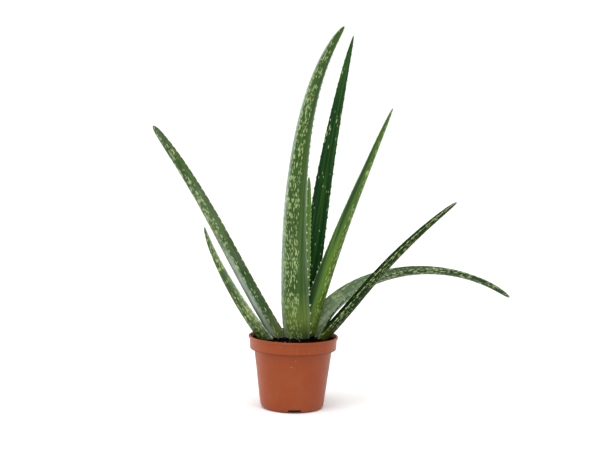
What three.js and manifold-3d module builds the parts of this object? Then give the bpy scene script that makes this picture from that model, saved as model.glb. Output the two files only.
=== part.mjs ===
// A potted aloe vera: a young rosette of eight tapering leaves on a short stem, in potting mix,
// in a round plastic grower's pot with a rim band and four drainage notches. Millimetres, +Z up,
// origin at the middle of the pot's underside. Azimuth 0 points along +X and 90 along +Y.
import * as THREE from "three";
import { mergeVertices } from "three/addons/utils/BufferGeometryUtils.js";
import Module from "manifold-3d";

const wasm = await Module();
wasm.setup();

const TOUCHING_GAP = 0.5; // kept between pieces that touch
const WELD_DISTANCE = 1e-4; // corners nearer than this are one corner

// Pot
const RIM_RADIUS = 60;
const POT_HEIGHT = 97.5;
const LIP_HEIGHT = 3; // the thick lip at the top of the band
const LIP_CHAMFER = 0.8;
const BAND_HEIGHT = 17.5;
const BAND_TOP_RADIUS = 58.5; // just under the lip
const BAND_FOOT_RADIUS = 57.7;
const SHOULDER_RADIUS = 52.3; // the body just under the band
const FOOT_RADIUS = 42.7;
const FOOT_ROUND = 6.5;
const FOOT_ROUND_START = -90; // degrees from straight outwards
const FOOT_ROUND_END = -7; // where the round meets the sloping body
const FOOT_ROUND_STEPS = 5;
const WALL = 1.3;
const FLOOR = 1.5;
const POT_FACETS = 56;
const NOTCH_WIDTH = 17;
const NOTCH_HEIGHT = 4.8;
const NOTCH_DEPTH = 12; // how far it cuts into the floor
const NOTCH_COUNT = 4;
const NOTCH_TURN = 5.5; // the first notch's azimuth past -90

// Soil, which is heaped a little around the plant
const SOIL_EDGE_HEIGHT = 91;
const SOIL_CROWN_HEIGHT = 95;
const SOIL_RINGS = [1, 0.8, 0.6, 0.4, 0]; // shares of the edge's radius

// Stem, hidden in the soil
const STEM_FOOT = [7, 5, 34];
const STEM_RADIUS = 8;
const STEM_FOOT_SHARE = 0.6; // of the radius, where the stem ends
const STEM_FACETS = 16;
const STEM_LENGTH = 44;

// Leaves
const LEAF_RINGS = 26;
const LEAF_SIDES = 12;
const OUTER_FLESH = 0.72; // the share of a leaf's thickness on its rounded outer side
const SHARPEST_CORNER = 0.3; // limits how far a sharp margin grows where room is left for a leaf
const TIP_SHARPNESS = 24; // a higher power keeps the leaf wide for longer before its tip closes
const NECK_LENGTH = 0.16; // the share of a leaf, from its root, over which it widens

// Each leaf runs along a cubic curve from root to tip. faces is the azimuth that its rounded outer
// side looks to at the root, and turn is how much that changes by the tip. width is the widest part,
// thick its fleshy middle, channel how far the margins stand in front of the middle, taper the share
// of the width lost by the tip, ease how late it is lost, and neck the share of the width at the root.
// They are in order from the youngest leaf in the middle to the oldest outside.
const LEAVES = [
  {
    name: "leaf_young_centre",
    colour: "#7d9a3c",
    curve: [[10, 5, 84], [16, 7, 164], [16, 8, 234], [16, 8, 310]],
    faces: -90, turn: 0, width: 12, thick: 5, channel: 2, taper: 0.54, ease: 1.6, neck: 0.6,
  },
  {
    name: "leaf_back_tall",
    colour: "#2f5a2b",
    curve: [[10, 16, 73], [30, 34, 242], [34, 35, 321], [72, 60, 499]],
    faces: 84, turn: -8, width: 29, thick: 9, channel: 4.5, taper: 0.84, ease: 2, neck: 0.7,
  },
  {
    name: "leaf_front_tall",
    colour: "#4c7434",
    curve: [[7, -5, 70], [-7, -28, 200], [-15, -25, 414], [57, -40, 508]],
    faces: -100, turn: 4, width: 41, thick: 13, channel: 5, taper: 0.77, ease: 1.22, neck: 0.62,
  },
  {
    name: "leaf_right_upright",
    colour: "#55812f",
    curve: [[12, 9, 70], [35, 11, 173], [74, -1, 276], [124, -10, 404]],
    faces: -60, turn: 10, width: 31, thick: 9, channel: 4, taper: 0.81, ease: 1.35, neck: 0.6,
  },
  {
    name: "leaf_left_long",
    colour: "#476f3a",
    curve: [[-3, 5, 66], [-88, -3, 196], [-102, -33, 260], [-186, -60, 376]],
    faces: 208, turn: 0, width: 26, thick: 12, channel: 7, taper: 0.45, ease: 2.15, neck: 0.8,
  },
  {
    name: "leaf_right_arched",
    colour: "#5f7f58",
    curve: [[20, 15, 65], [33, 39, 178], [199, 52, 219], [296, 60, 146]],
    faces: 50, turn: -40, width: 38, thick: 12, channel: 7, taper: 0.55, ease: 0.85, neck: 0.66,
  },
  {
    name: "leaf_left_short",
    colour: "#4f7334",
    curve: [[-8, 2, 65], [-50, -7, 96], [-113, -13, 204], [-120, -20, 243]],
    faces: 188, turn: 0, width: 30, thick: 13, channel: 8, taper: 0.74, ease: 1.65, neck: 0.7,
  },
  {
    name: "leaf_right_curved",
    colour: "#476c33",
    curve: [[18, 2, 69], [96, 14, 147], [104, -6, 189], [212, -12, 282]],
    faces: 5, turn: 0, width: 25, thick: 7, channel: 8, taper: 0.64, ease: 1.9, neck: 0.7,
  },
];

const radians = THREE.MathUtils.degToRad;

/** A closed three.js geometry as a manifold solid. */
function solidOf(geometry) {
  const bare = geometry.clone();
  bare.deleteAttribute("normal");
  bare.deleteAttribute("uv");
  const merged = mergeVertices(bare, WELD_DISTANCE);
  return new wasm.Manifold(
    new wasm.Mesh({
      numProp: 3,
      vertProperties: merged.attributes.position.array,
      triVerts: new Uint32Array(merged.index.array),
    }),
  );
}

/** A manifold solid as a three.js geometry. */
function geometryOf(solid) {
  const mesh = solid.getMesh();
  return new THREE.BufferGeometry()
    .setAttribute("position", new THREE.BufferAttribute(mesh.vertProperties, 3))
    .setIndex(new THREE.BufferAttribute(mesh.triVerts, 1));
}

/** The largest separate body of a solid, which drops the slivers that a cut can leave. */
function mainBody(solid) {
  return solid.decompose().reduce((a, b) => (b.volume() > a.volume() ? b : a));
}

/** A lathe about Z from [radius, height] pairs that start and end on the axis, given from the bottom up. */
function turned(profile, facets) {
  const points = profile.map(([radius, height]) => new THREE.Vector2(radius, height));
  return new THREE.LatheGeometry(points, facets).rotateX(Math.PI / 2);
}

/** A quarter round of the given radius at the pot's foot, as [radius, height] pairs. */
function footRound(radius) {
  const centre = FOOT_RADIUS - FOOT_ROUND;
  return Array.from({ length: FOOT_ROUND_STEPS + 1 }, (_, i) => {
    const share = i / FOOT_ROUND_STEPS;
    const angle = radians(THREE.MathUtils.lerp(FOOT_ROUND_START, FOOT_ROUND_END, share));
    return [centre + radius * Math.cos(angle), FOOT_ROUND + radius * Math.sin(angle)];
  });
}

/** The pot's wall line, moved inwards by inset: [radius, height] pairs from its foot to its band. */
function bodyLine(inset) {
  const shoulderHeight = POT_HEIGHT - BAND_HEIGHT;
  return [
    ...footRound(FOOT_ROUND - inset),
    [SHOULDER_RADIUS - inset, shoulderHeight + inset],
    [BAND_FOOT_RADIUS - inset, shoulderHeight + inset],
  ];
}

function potSolid() {
  const outside = [
    [0, 0],
    ...bodyLine(0),
    [BAND_TOP_RADIUS, POT_HEIGHT - LIP_HEIGHT],
    [RIM_RADIUS, POT_HEIGHT - LIP_HEIGHT],
    [RIM_RADIUS, POT_HEIGHT - LIP_CHAMFER],
    [RIM_RADIUS - LIP_CHAMFER, POT_HEIGHT],
  ];
  const inside = [
    [BAND_TOP_RADIUS - WALL + LIP_CHAMFER, POT_HEIGHT],
    [BAND_TOP_RADIUS - WALL, POT_HEIGHT - LIP_CHAMFER],
    ...bodyLine(WALL).reverse(),
    [0, FLOOR],
  ];
  inside[inside.length - 2][1] = FLOOR;
  let pot = solidOf(turned([...outside, ...inside], POT_FACETS));
  for (let i = 0; i < NOTCH_COUNT; i++) {
    const cutter = new THREE.BoxGeometry(2 * NOTCH_DEPTH, NOTCH_WIDTH, 2 * NOTCH_HEIGHT)
      .translate(FOOT_RADIUS, 0, 0)
      .rotateZ(radians(-90 + NOTCH_TURN + (360 / NOTCH_COUNT) * i));
    pot = pot.subtract(solidOf(cutter));
  }
  return pot;
}

/** How much of its full width a leaf has at a share u of its length. */
function widthShare(leaf, u) {
  const taper = 1 - leaf.taper * u ** leaf.ease;
  const tip = Math.sqrt(1 - u ** TIP_SHARPNESS);
  const neck = u < NECK_LENGTH ? 1 - (1 - leaf.neck) * (1 - u / NECK_LENGTH) ** 2 : 1;
  return taper * tip * neck;
}

/** A leaf's outline at a share of its full size: how far across and how far outwards, for an angle
 * from the middle of its outer side. */
function leafOutline(leaf, share, angle) {
  const across = Math.sin(angle);
  const outwards = Math.cos(angle);
  const flesh = leaf.thick * (outwards > 0 ? OUTER_FLESH : 1 - OUTER_FLESH);
  return new THREE.Vector2(
    0.5 * leaf.width * across,
    flesh * outwards - leaf.channel * across ** 2,
  ).multiplyScalar(share);
}

/** How far a corner of the faceted outline moves to push both of its sides out by grow. */
function cornerShift(leaf, share, angle, grow) {
  const step = (2 * Math.PI) / LEAF_SIDES;
  const here = leafOutline(leaf, share, angle);
  const before = here.clone().sub(leafOutline(leaf, share, angle - step)).normalize();
  const after = leafOutline(leaf, share, angle + step).sub(here).normalize();
  const middle = before.clone().add(after).normalize();
  const reach = grow / Math.max(middle.dot(before), SHARPEST_CORNER);
  return new THREE.Vector2(-middle.y, middle.x).multiplyScalar(reach);
}

/** One leaf as a solid, grown by grow on every side. A cone's rings are laid along the leaf's curve. */
function leafSolid(leaf, grow = 0) {
  const curve = new THREE.CubicBezierCurve3(...leaf.curve.map((p) => new THREE.Vector3(...p)));
  const cone = new THREE.ConeGeometry(1, 1, LEAF_SIDES, LEAF_RINGS);
  const position = cone.attributes.position;
  const place = new THREE.Vector3();
  for (let i = 0; i < position.count; i++) {
    place.fromBufferAttribute(position, i);
    const u = THREE.MathUtils.clamp(place.y + 0.5, 0, 1);
    const onRim = Math.hypot(place.x, place.z) > WELD_DISTANCE; // not an end's middle
    const angle = Math.atan2(place.x, place.z);

    const along = curve.getTangentAt(u);
    const azimuth = radians(leaf.faces + leaf.turn * u);
    const level = new THREE.Vector3(-Math.sin(azimuth), Math.cos(azimuth), 0);
    const sideways = level.projectOnPlane(along).normalize();
    const outer = sideways.clone().cross(along);
    curve.getPointAt(u, place);
    if (onRim) {
      const share = widthShare(leaf, u);
      const corner = leafOutline(leaf, share, angle).add(cornerShift(leaf, share, angle, grow));
      place.addScaledVector(sideways, corner.x).addScaledVector(outer, corner.y);
    }
    if (u === 0) place.addScaledVector(along, -grow);
    position.setXYZ(i, place.x, place.y, place.z);
  }
  return solidOf(cone);
}

function stemSolid(grow = 0) {
  const stem = new THREE.CylinderGeometry(
    STEM_RADIUS + grow,
    STEM_FOOT_SHARE * STEM_RADIUS + grow,
    STEM_LENGTH + 2 * grow,
    STEM_FACETS,
  )
    .rotateX(Math.PI / 2)
    .translate(STEM_FOOT[0], STEM_FOOT[1], STEM_FOOT[2] + STEM_LENGTH / 2);
  return solidOf(stem);
}

/** The space in the pot up to the soil's gently heaped top, kept clear of the wall. */
function soilPlug() {
  const inset = WALL + TOUCHING_GAP;
  const line = bodyLine(inset);
  line[0][1] = FLOOR + TOUCHING_GAP;
  const share = (SOIL_EDGE_HEIGHT - (POT_HEIGHT - BAND_HEIGHT)) / BAND_HEIGHT;
  const edgeRadius = THREE.MathUtils.lerp(BAND_FOOT_RADIUS, BAND_TOP_RADIUS, share) - inset;
  const heap = SOIL_CROWN_HEIGHT - SOIL_EDGE_HEIGHT;
  const top = SOIL_RINGS.map((r) => [r * edgeRadius, SOIL_EDGE_HEIGHT + heap * (1 - r ** 2)]);
  return solidOf(turned([[0, FLOOR + TOUCHING_GAP], ...line, ...top], POT_FACETS));
}

const group = new THREE.Group();

function addPiece(name, solid, colour, roughness) {
  const material = new THREE.MeshStandardMaterial({ color: colour, roughness, metalness: 0 });
  const mesh = new THREE.Mesh(geometryOf(solid), material);
  mesh.name = name;
  group.add(mesh);
}

addPiece("pot", potSolid(), "#a25432", 0.45);

// An older leaf clasps the younger ones and the stem, so each is cut clear of those before it.
let soil = soilPlug().subtract(stemSolid(TOUCHING_GAP));
const inner = [stemSolid(TOUCHING_GAP)];
for (const leaf of LEAVES) {
  const clear = inner.reduce((solid, other) => solid.subtract(other), leafSolid(leaf));
  addPiece(leaf.name, mainBody(clear), leaf.colour, 0.4);
  const room = leafSolid(leaf, TOUCHING_GAP);
  inner.push(room);
  soil = soil.subtract(room);
}
addPiece("stem", stemSolid(), "#8f8a52", 0.7);
addPiece("soil", mainBody(soil), "#2b1f1a", 0.95);

export default group;
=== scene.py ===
"""Potted aloe vera: a young rosette of eight toothed, pale-flecked leaves in a round plastic grower's pot.

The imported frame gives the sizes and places. Every visible piece is remade here as a fine surface: the leaves with
their teeth, the pot with its rounded rim and foot, and the potting mix with loose crumbs and fibres on it.
"""

import logging
import math
import random
from collections.abc import Iterable, Sequence
from dataclasses import dataclass, field
from enum import Enum

import bmesh
import bpy
from mathutils import Euler, Matrix, Vector, noise


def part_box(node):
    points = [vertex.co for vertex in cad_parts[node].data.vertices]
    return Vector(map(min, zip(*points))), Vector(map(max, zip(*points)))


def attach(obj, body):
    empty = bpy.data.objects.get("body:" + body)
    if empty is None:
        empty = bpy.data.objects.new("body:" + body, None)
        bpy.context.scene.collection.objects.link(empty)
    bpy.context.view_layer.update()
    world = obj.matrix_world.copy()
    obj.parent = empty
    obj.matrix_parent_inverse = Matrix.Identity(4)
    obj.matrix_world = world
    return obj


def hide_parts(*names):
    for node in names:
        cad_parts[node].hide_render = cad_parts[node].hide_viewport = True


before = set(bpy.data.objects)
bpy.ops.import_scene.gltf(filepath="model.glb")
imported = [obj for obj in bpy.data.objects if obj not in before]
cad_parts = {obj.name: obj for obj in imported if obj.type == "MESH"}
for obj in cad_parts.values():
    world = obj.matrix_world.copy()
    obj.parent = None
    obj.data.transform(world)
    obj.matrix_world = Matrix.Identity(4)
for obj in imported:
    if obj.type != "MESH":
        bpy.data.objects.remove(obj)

Tree = bpy.types.NodeTree
Socket = bpy.types.NodeSocket
Pair = tuple[float, float]
Point = tuple[float, float, float]
Inputs = dict[str, Socket | float | tuple]

LOG = logging.getLogger("aloe")
MM = 0.001
BODY = "root"
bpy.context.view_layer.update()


# ---- Colours, nodes and meshes ----


def linear(code: str) -> tuple[float, float, float, float]:
    """Turns an sRGB hex code into a linear colour.

    Args:
        code: The colour as "#rrggbb".

    Returns:
        Red, green, blue and an alpha of 1.
    """
    parts = [int(code[i : i + 2], 16) / 255 for i in (1, 3, 5)]
    red, green, blue = (c / 12.92 if c <= 0.04045 else ((c + 0.055) / 1.055) ** 2.4 for c in parts)
    return red, green, blue, 1.0


def add_node(tree: Tree, kind: str, inputs: dict | Sequence = (), **settings) -> bpy.types.Node:
    """Adds a shader node.

    Args:
        tree: The node tree that gets it.
        kind: The node's type, without "ShaderNode".
        inputs: A value, or the output socket that feeds it, for each input: by name or number, or in order.
        **settings: The node's own properties.

    Returns:
        The new node.
    """
    node = tree.nodes.new("ShaderNode" + kind)
    for name, value in settings.items():
        setattr(node, name, value)
    for name, value in inputs.items() if isinstance(inputs, dict) else enumerate(inputs):
        if isinstance(value, Socket):
            tree.links.new(value, node.inputs[name])
        else:
            node.inputs[name].default_value = value
    return node


def overlaid(tree: Tree, ground: str, layers: Iterable[tuple[Socket, Pair, float, str]]) -> Socket:
    """Lays thin coats of colour over a ground.

    Args:
        tree: The node tree.
        ground: The ground's colour, as "#rrggbb".
        layers: For each coat: socket with what it depends on, the span over which it comes in, how much it covers
            at most, and its colour.

    Returns:
        Socket with the colour.
    """
    colour = linear(ground)
    for value, span, most, coat in layers:
        share = add_node(tree, "MapRange", (value, *span, 0.0, most)).outputs[0]
        colour = add_node(tree, "Mix", {0: share, 6: colour, 7: linear(coat)}, data_type="RGBA").outputs[2]
    return colour


def solid_noise(tree: Tree, cell: Point, detail: float, roughness: float = 0.5) -> Socket:
    """Noise that runs through the solid piece.

    Args:
        tree: The node tree.
        cell: Size of one cell along each axis, in millimetres.
        detail: How many finer layers it has.
        roughness: How strong the finer layers are.

    Returns:
        Socket with the noise, about 0.5 on average.
    """
    place = add_node(tree, "TexCoord").outputs["Object"]
    place = add_node(tree, "Mapping", {"Vector": place, "Scale": [1 / (side * MM) for side in cell]}).outputs[0]
    inputs = {"Vector": place, "Scale": 1.0, "Detail": detail, "Roughness": roughness}
    return add_node(tree, "TexNoise", inputs).outputs["Fac"]


def new_mesh(name: str, shape: bmesh.types.BMesh) -> bpy.types.Mesh:
    """Turns a bmesh into a mesh and frees it."""
    mesh = bpy.data.meshes.new(name)
    shape.to_mesh(mesh)
    shape.free()
    return mesh


def new_object(name: str, data: bpy.types.ID) -> bpy.types.Object:
    """Adds an object to the scene, at the origin."""
    made = bpy.data.objects.new(name, data)
    bpy.context.scene.collection.objects.link(made)
    return made


def finished_piece(
    name: str,
    shape: bmesh.types.BMesh,
    material: bpy.types.Material,
    stands_for: Sequence[str] = (),
    crease: float = 180.0,
) -> bpy.types.Object:
    """Turns a bmesh into a piece that rides on the plant's body.

    Args:
        name: The piece's name.
        shape: The shape, in the row frame. It is freed.
        material: Its material.
        stands_for: The CAD nodes that it replaces.
        crease: Edges sharper than this many degrees stay sharp.

    Returns:
        The new object.
    """
    for face in shape.faces:
        face.smooth = True
    mesh = new_mesh(name, shape)
    if crease < 180:
        mesh.set_sharp_from_angle(angle=math.radians(crease))
    mesh.materials.append(material)
    piece = new_object(name, mesh)
    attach(piece, BODY)
    if stands_for:
        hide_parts(*stands_for)
    LOG.info("%s: %d faces", name, len(mesh.polygons))
    return piece


# ---- Finishes ----


@dataclass(frozen=True)
class Finish:
    """The look of one real material.

    Attributes:
        name: The material's name.
    """

    name: str

    def surface(self, tree: Tree) -> Inputs:
        """Adds the finish's patterns to a tree and gives the shader's inputs, by name."""
        raise NotImplementedError

    def material(self) -> bpy.types.Material:
        """Builds the material."""
        material = bpy.data.materials.new(self.name)
        material.use_nodes = True
        tree = material.node_tree
        tree.nodes.clear()
        shader = add_node(tree, "BsdfPrincipled", self.surface(tree))
        add_node(tree, "OutputMaterial", [shader.outputs[0]])
        return material


@dataclass(frozen=True)
class AloeSkin(Finish):
    """Living aloe epidermis under a waxen cuticle: smooth, faintly ribbed along the leaf, with pale raised flecks.

    Strips of painted sheen stand in for the grey-blue reflections where the surface turns away, over a thin real
    bloom; the margin is a thin hard pale line, and the inner face is darker and less flecked than the outer one.

    Attributes:
        outer: Colour of the rounded outer face.
        inner: Colour of the channelled inner face.
        base: Colour near the soil, where little light has reached.
        stripe: Colour of the lighter lengthwise bands.
        fleck: Colour of the flecks.
        margin: Colour of the hard margin line.
        outer_flecks: Share of the fleck cells filled on the outer face, 0 to 1.
        inner_flecks: The same on the inner face.
        fleck_span: The part of the leaf that is flecked, from -1 at its left margin to 1 at its right one.
        painted_shade_span: The part of the outer face painted as dark as the inner one, in the same shares: painted
            shade.
        bloom: How much of the grey-blue bloom lies over the green, 0 to 1.
        painted_sheen_spans: Strips of the leaf, in the same shares, where a painted sheen stands in for bright
            reflections.
        painted_sheen: How much of the green it hides there, 0 to 1.
        painted_sheen_inside: Share of that painted sheen which the inner face carries too.
        painted_sheen_reach: Share of the leaf's length over which those strips stay strong.
        wax_and_sheen: Colour of the bloom, and of the painted sheen in those strips.
        tooth: Colour of the teeth.
        gloss: How strongly the cuticle mirrors, where 0.5 is a bare dielectric.
        scar: Place of a healed rust-brown nick, in millimetres around and along the skin.
        seed: Moves the patterns, so that no two leaves match.
    """

    outer: str = "#334e17"
    inner: str = "#20400f"
    base: str = "#6f7e2a"
    stripe: str = "#456022"
    fleck: str = "#a3b27c"
    margin: str = "#b3bf94"
    outer_flecks: float = 0.5
    inner_flecks: float = 0.2
    fleck_span: Pair = (-1.3, 1.3)
    painted_shade_span: Pair = (2.0, 2.1)
    bloom: float = 0.05
    painted_sheen_spans: tuple[Pair, ...] = ()
    painted_sheen: float = 0.5
    painted_sheen_inside: float = 0.0
    painted_sheen_reach: float = 1.1
    wax_and_sheen: str = "#8fa69b"
    tooth: str = "#c3cb9c"
    gloss: float = 0.24
    scar: Pair = (0.0, -9.0)
    seed: float = 0.0

    ROUGHNESS = (0.27, 0.42)  # waxen cuticle, rougher where the bloom lies
    CUTICLE_IOR = 1.45
    DRY_TIP = "#5b5428"
    SHADED_FOOT = "#16300c"
    NICK = "#6b3a1c"
    SHEEN = "#c4d6dc"

    # Width and length of one cell of each pattern, in millimetres. The grain is drawn coarser than real cells of
    # the skin, which are too fine to show.
    BANDS = (4.5, 170)
    RIBS = (0.9, 45)
    PATCHES = (20, 34)
    GRAIN = (0.35, 0.6)
    LARGE_FLECKS = (2.1, 9.5)
    SMALL_FLECKS = (1.4, 6.0)

    FLECK_REACH = (0.18, 0.46)  # from the middle of its cell, in cells
    FLECK_EDGE = (-0.03, 0.13)  # where its soft edge starts and ends
    RAGGED = 0.5  # how far noise bends its outline
    MARGIN_LINE = (1.1 * MM, 0.4 * MM)  # where the pale line starts and is full
    FLECK_FREE = (0.8 * MM, 1.6 * MM)  # the flecks stop this far from the margin
    CROWDING = (0.36, 0.6, 0.5, 1.3)  # span of the patches, and how crowded the flecks are at its ends
    SHEEN_PATCHES = (0.25, 0.55, 0.6, 1.0)  # span of the patches, and how strong the painted sheen is at its ends
    SHEEN_FADE = 0.15  # share of the length over which the strips fade, before and after their reach
    SOFT_FLECKED, SOFT_WAXY, SOFT_DARK = 0.25, 0.22, 0.12  # edges of those spans, from -1 to 1 across
    TURNING = (-0.18, 0.12)  # cosines between which the inner face turns into the outer one

    def _streaks(self, tree: Tree, surface: Socket, cell: Pair, detail: float, shift: float) -> Socket:
        """Noise drawn out along the leaf, about 0.5 on average.

        Args:
            tree: The material's node tree.
            surface: Socket with the place on the skin.
            cell: Width and length of one streak, in millimetres.
            detail: How many finer layers the noise has.
            shift: Moves the pattern.

        Returns:
            Socket with the noise.
        """
        scale = (1 / (cell[0] * MM), 1 / (cell[1] * MM), 1)
        inputs = {"Vector": surface, "Scale": scale, "Location": (shift, -shift, 0)}
        place = add_node(tree, "Mapping", inputs).outputs[0]
        inputs = {"Vector": place, "Scale": 1.0, "Detail": detail}
        return add_node(tree, "TexNoise", inputs, noise_dimensions="2D").outputs["Fac"]

    def _flecks(self, tree: Tree, surface: Socket, cell: Pair, share: Socket, shift: float) -> Socket:
        """One layer of elongated flecks.

        Args:
            tree: The material's node tree.
            surface: Socket with the place on the skin.
            cell: Width and length of the cell that holds one fleck, in millimetres.
            share: Socket with the share of cells that are filled.
            shift: Moves the pattern.

        Returns:
            Socket with 1 inside a fleck and 0 outside.
        """
        scale = (1 / (cell[0] * MM), 1 / (cell[1] * MM), 1)
        inputs = {"Vector": surface, "Scale": scale, "Location": (shift, 2.3 * shift, 0)}
        place = add_node(tree, "Mapping", inputs).outputs[0]
        inputs = {"Vector": place, "Scale": 1.7, "Detail": 2.0}
        bend = add_node(tree, "TexNoise", inputs, noise_dimensions="2D").outputs["Color"]
        most = (self.RAGGED, self.RAGGED, 0)
        bent = add_node(tree, "VectorMath", (bend, most, place), operation="MULTIPLY_ADD").outputs[0]
        inputs = {"Vector": bent, "Scale": 1.0, "Randomness": 0.9}
        cells = add_node(tree, "TexVoronoi", inputs, voronoi_dimensions="2D")
        chance = add_node(tree, "SeparateColor", [cells.outputs["Color"]])
        reach = add_node(tree, "MapRange", (chance.outputs["Red"], 0.0, 1.0, *self.FLECK_REACH)).outputs[0]
        inside = add_node(tree, "Math", (reach, cells.outputs["Distance"]), operation="SUBTRACT").outputs[0]
        spot = add_node(tree, "MapRange", (inside, *self.FLECK_EDGE)).outputs[0]
        filled = add_node(tree, "Math", (chance.outputs["Green"], share), operation="LESS_THAN").outputs[0]
        return add_node(tree, "Math", (spot, filled), operation="MULTIPLY").outputs[0]

    def _between(self, tree: Tree, value: Socket, span: Pair, soft: float) -> Socket:
        """A soft-edged band.

        Args:
            tree: The material's node tree.
            value: Socket with the value.
            span: Where the band starts and ends.
            soft: How wide its edges are.

        Returns:
            Socket with 1 inside the span and 0 outside.
        """
        middle, half = (span[0] + span[1]) / 2, (span[1] - span[0]) / 2
        off = add_node(tree, "Math", (value, middle), operation="SUBTRACT").outputs[0]
        away = add_node(tree, "Math", [off], operation="ABSOLUTE").outputs[0]
        return add_node(tree, "MapRange", (away, half + soft / 2, half - soft / 2)).outputs[0]

    def _pattern(
        self, tree: Tree, surface: Socket, facing: Socket, across: Socket, edge: Socket, patches: Socket
    ) -> Socket:
        """All the flecks.

        Args:
            tree: The material's node tree.
            surface: Socket with the place on the skin.
            facing: Socket with 1 on the outer face and 0 on the inner one.
            across: Socket with the place across the leaf, -1 to 1.
            edge: Socket with the distance to the margin, in metres.
            patches: Socket with coarse noise, which crowds the flecks in places.

        Returns:
            Socket with 1 inside a fleck and 0 outside.
        """
        share = add_node(tree, "MapRange", (facing, 0.0, 1.0, self.inner_flecks, self.outer_flecks)).outputs[0]
        crowding = add_node(tree, "MapRange", (patches, *self.CROWDING)).outputs[0]
        for factor in (crowding, self._between(tree, across, self.fleck_span, self.SOFT_FLECKED)):
            share = add_node(tree, "Math", (share, factor), operation="MULTIPLY").outputs[0]
        large = self._flecks(tree, surface, self.LARGE_FLECKS, share, self.seed)
        small = self._flecks(tree, surface, self.SMALL_FLECKS, share, self.seed + 7.7)
        flecks = add_node(tree, "Math", (large, small), operation="MAXIMUM").outputs[0]
        inland = add_node(tree, "MapRange", (edge, *self.FLECK_FREE)).outputs[0]
        return add_node(tree, "Math", (flecks, inland), operation="MULTIPLY").outputs[0]

    def _painted_sheen_strips(self, tree: Tree, facing: Socket, across: Socket, along: Socket, patches: Socket) -> Socket:
        """The strips of painted sheen, weaker in patches.

        Args:
            tree: The material's node tree.
            facing: Socket with 1 on the outer face and 0 on the inner one.
            across: Socket with the place across the leaf, -1 to 1.
            along: Socket with the share of the leaf's length.
            patches: Socket with coarse noise.

        Returns:
            Socket with how strong the painted sheen is, 0 to 1.
        """
        # thick gathers how strong the painted sheen is, strip by strip
        thick = 0.0
        for span in self.painted_sheen_spans:
            strip = self._between(tree, across, span, self.SOFT_WAXY)
            thick = add_node(tree, "Math", (thick, strip), operation="MAXIMUM").outputs[0]
        ends = (self.painted_sheen_reach + self.SHEEN_FADE, self.painted_sheen_reach - self.SHEEN_FADE)
        reach = add_node(tree, "MapRange", (along, *ends)).outputs[0]
        sheen_patchiness = add_node(tree, "MapRange", (patches, *self.SHEEN_PATCHES)).outputs[0]
        side = add_node(tree, "MapRange", (facing, 0.0, 1.0, self.painted_sheen_inside, 1.0)).outputs[0]
        for factor in (sheen_patchiness, reach, side):
            thick = add_node(tree, "Math", (thick, factor), operation="MULTIPLY").outputs[0]
        return thick

    def surface(self, tree: Tree) -> Inputs:
        """Adds the patterns and gives the shader's inputs."""
        surface = add_node(tree, "UVMap", uv_map=Leaf.UV_NAME).outputs[0]
        edge, along, outer, across, tooth = (
            add_node(tree, "Attribute", attribute_name=name).outputs["Fac"]
            for name in (Leaf.EDGE, Leaf.ALONG, Leaf.OUTER, Leaf.ACROSS, Leaf.TOOTH)
        )
        bands = self._streaks(tree, surface, self.BANDS, 3.0, self.seed)
        ribs = self._streaks(tree, surface, self.RIBS, 2.0, self.seed + 3)
        patches = self._streaks(tree, surface, self.PATCHES, 4.0, self.seed + 5)
        grain = self._streaks(tree, surface, self.GRAIN, 1.0, 0.0)

        facing = add_node(tree, "MapRange", (outer, *self.TURNING)).outputs[0]
        # painted shade: over that span the outer face takes the inner face's darker colour
        dark = self._between(tree, across, self.painted_shade_span, self.SOFT_DARK)
        lit = add_node(tree, "Math", (facing, dark), operation="SUBTRACT", use_clamp=True).outputs[0]
        flecks = self._pattern(tree, surface, facing, across, edge, patches)
        nick = (self.scar[0] * MM, self.scar[1] * MM, 0.0)
        nick = add_node(tree, "VectorMath", (surface, nick), operation="DISTANCE").outputs["Value"]

        # From the flesh outwards: the outer face's green over the inner one's, but for a strip of painted shade, bands
        # of lighter green, the pale yellow base, painted shade at its foot, the grey-blue bloom, then the strips of
        # painted sheen, the flecks, the hard margin with its teeth, a nick and the dried tip.
        layers = (
            (lit, (0.0, 1.0), 1.0, self.outer),
            (bands, (0.46, 0.66), 0.8, self.stripe),
            (along, (0.2, 0.05), 0.8, self.base),
            (along, (0.12, 0.06), 0.8, self.SHADED_FOOT),
            (patches, (0.3, 0.75), self.bloom, self.wax_and_sheen),
            (self._painted_sheen_strips(tree, facing, across, along, patches), (0.0, 1.0), self.painted_sheen, self.wax_and_sheen),
            (flecks, (0.0, 1.0), 0.85, self.fleck),
            (edge, self.MARGIN_LINE, 0.8, self.margin),
            (tooth, (0.1, 0.6), 1.0, self.tooth),
            (nick, (2.3 * MM, 1.1 * MM), 0.85, self.NICK),
            (along, (0.988, 1.0), 1.0, self.DRY_TIP),
        )
        skin = overlaid(tree, self.inner, layers)
        shade = add_node(tree, "MapRange", (ribs, 0.35, 0.7, 0.82, 1.15)).outputs[0]
        skin = add_node(tree, "VectorMath", {0: skin, "Scale": shade}, operation="SCALE").outputs[0]

        height = add_node(tree, "Math", (flecks, 0.5, ribs), operation="MULTIPLY_ADD").outputs[0]
        height = add_node(tree, "Math", (grain, 0.12, height), operation="MULTIPLY_ADD").outputs[0]
        bump = add_node(tree, "Bump", {"Height": height, "Strength": 0.6, "Distance": 0.35 * MM})
        return {
            "Base Color": skin,
            "Roughness": add_node(tree, "MapRange", (patches, 0.3, 0.7, *self.ROUGHNESS)).outputs[0],
            "IOR": self.CUTICLE_IOR,
            "Specular IOR Level": self.gloss,
            "Normal": bump.outputs[0],
            "Sheen Weight": 0.02,
            "Sheen Roughness": 0.4,
            "Sheen Tint": linear(self.SHEEN),
        }


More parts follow.
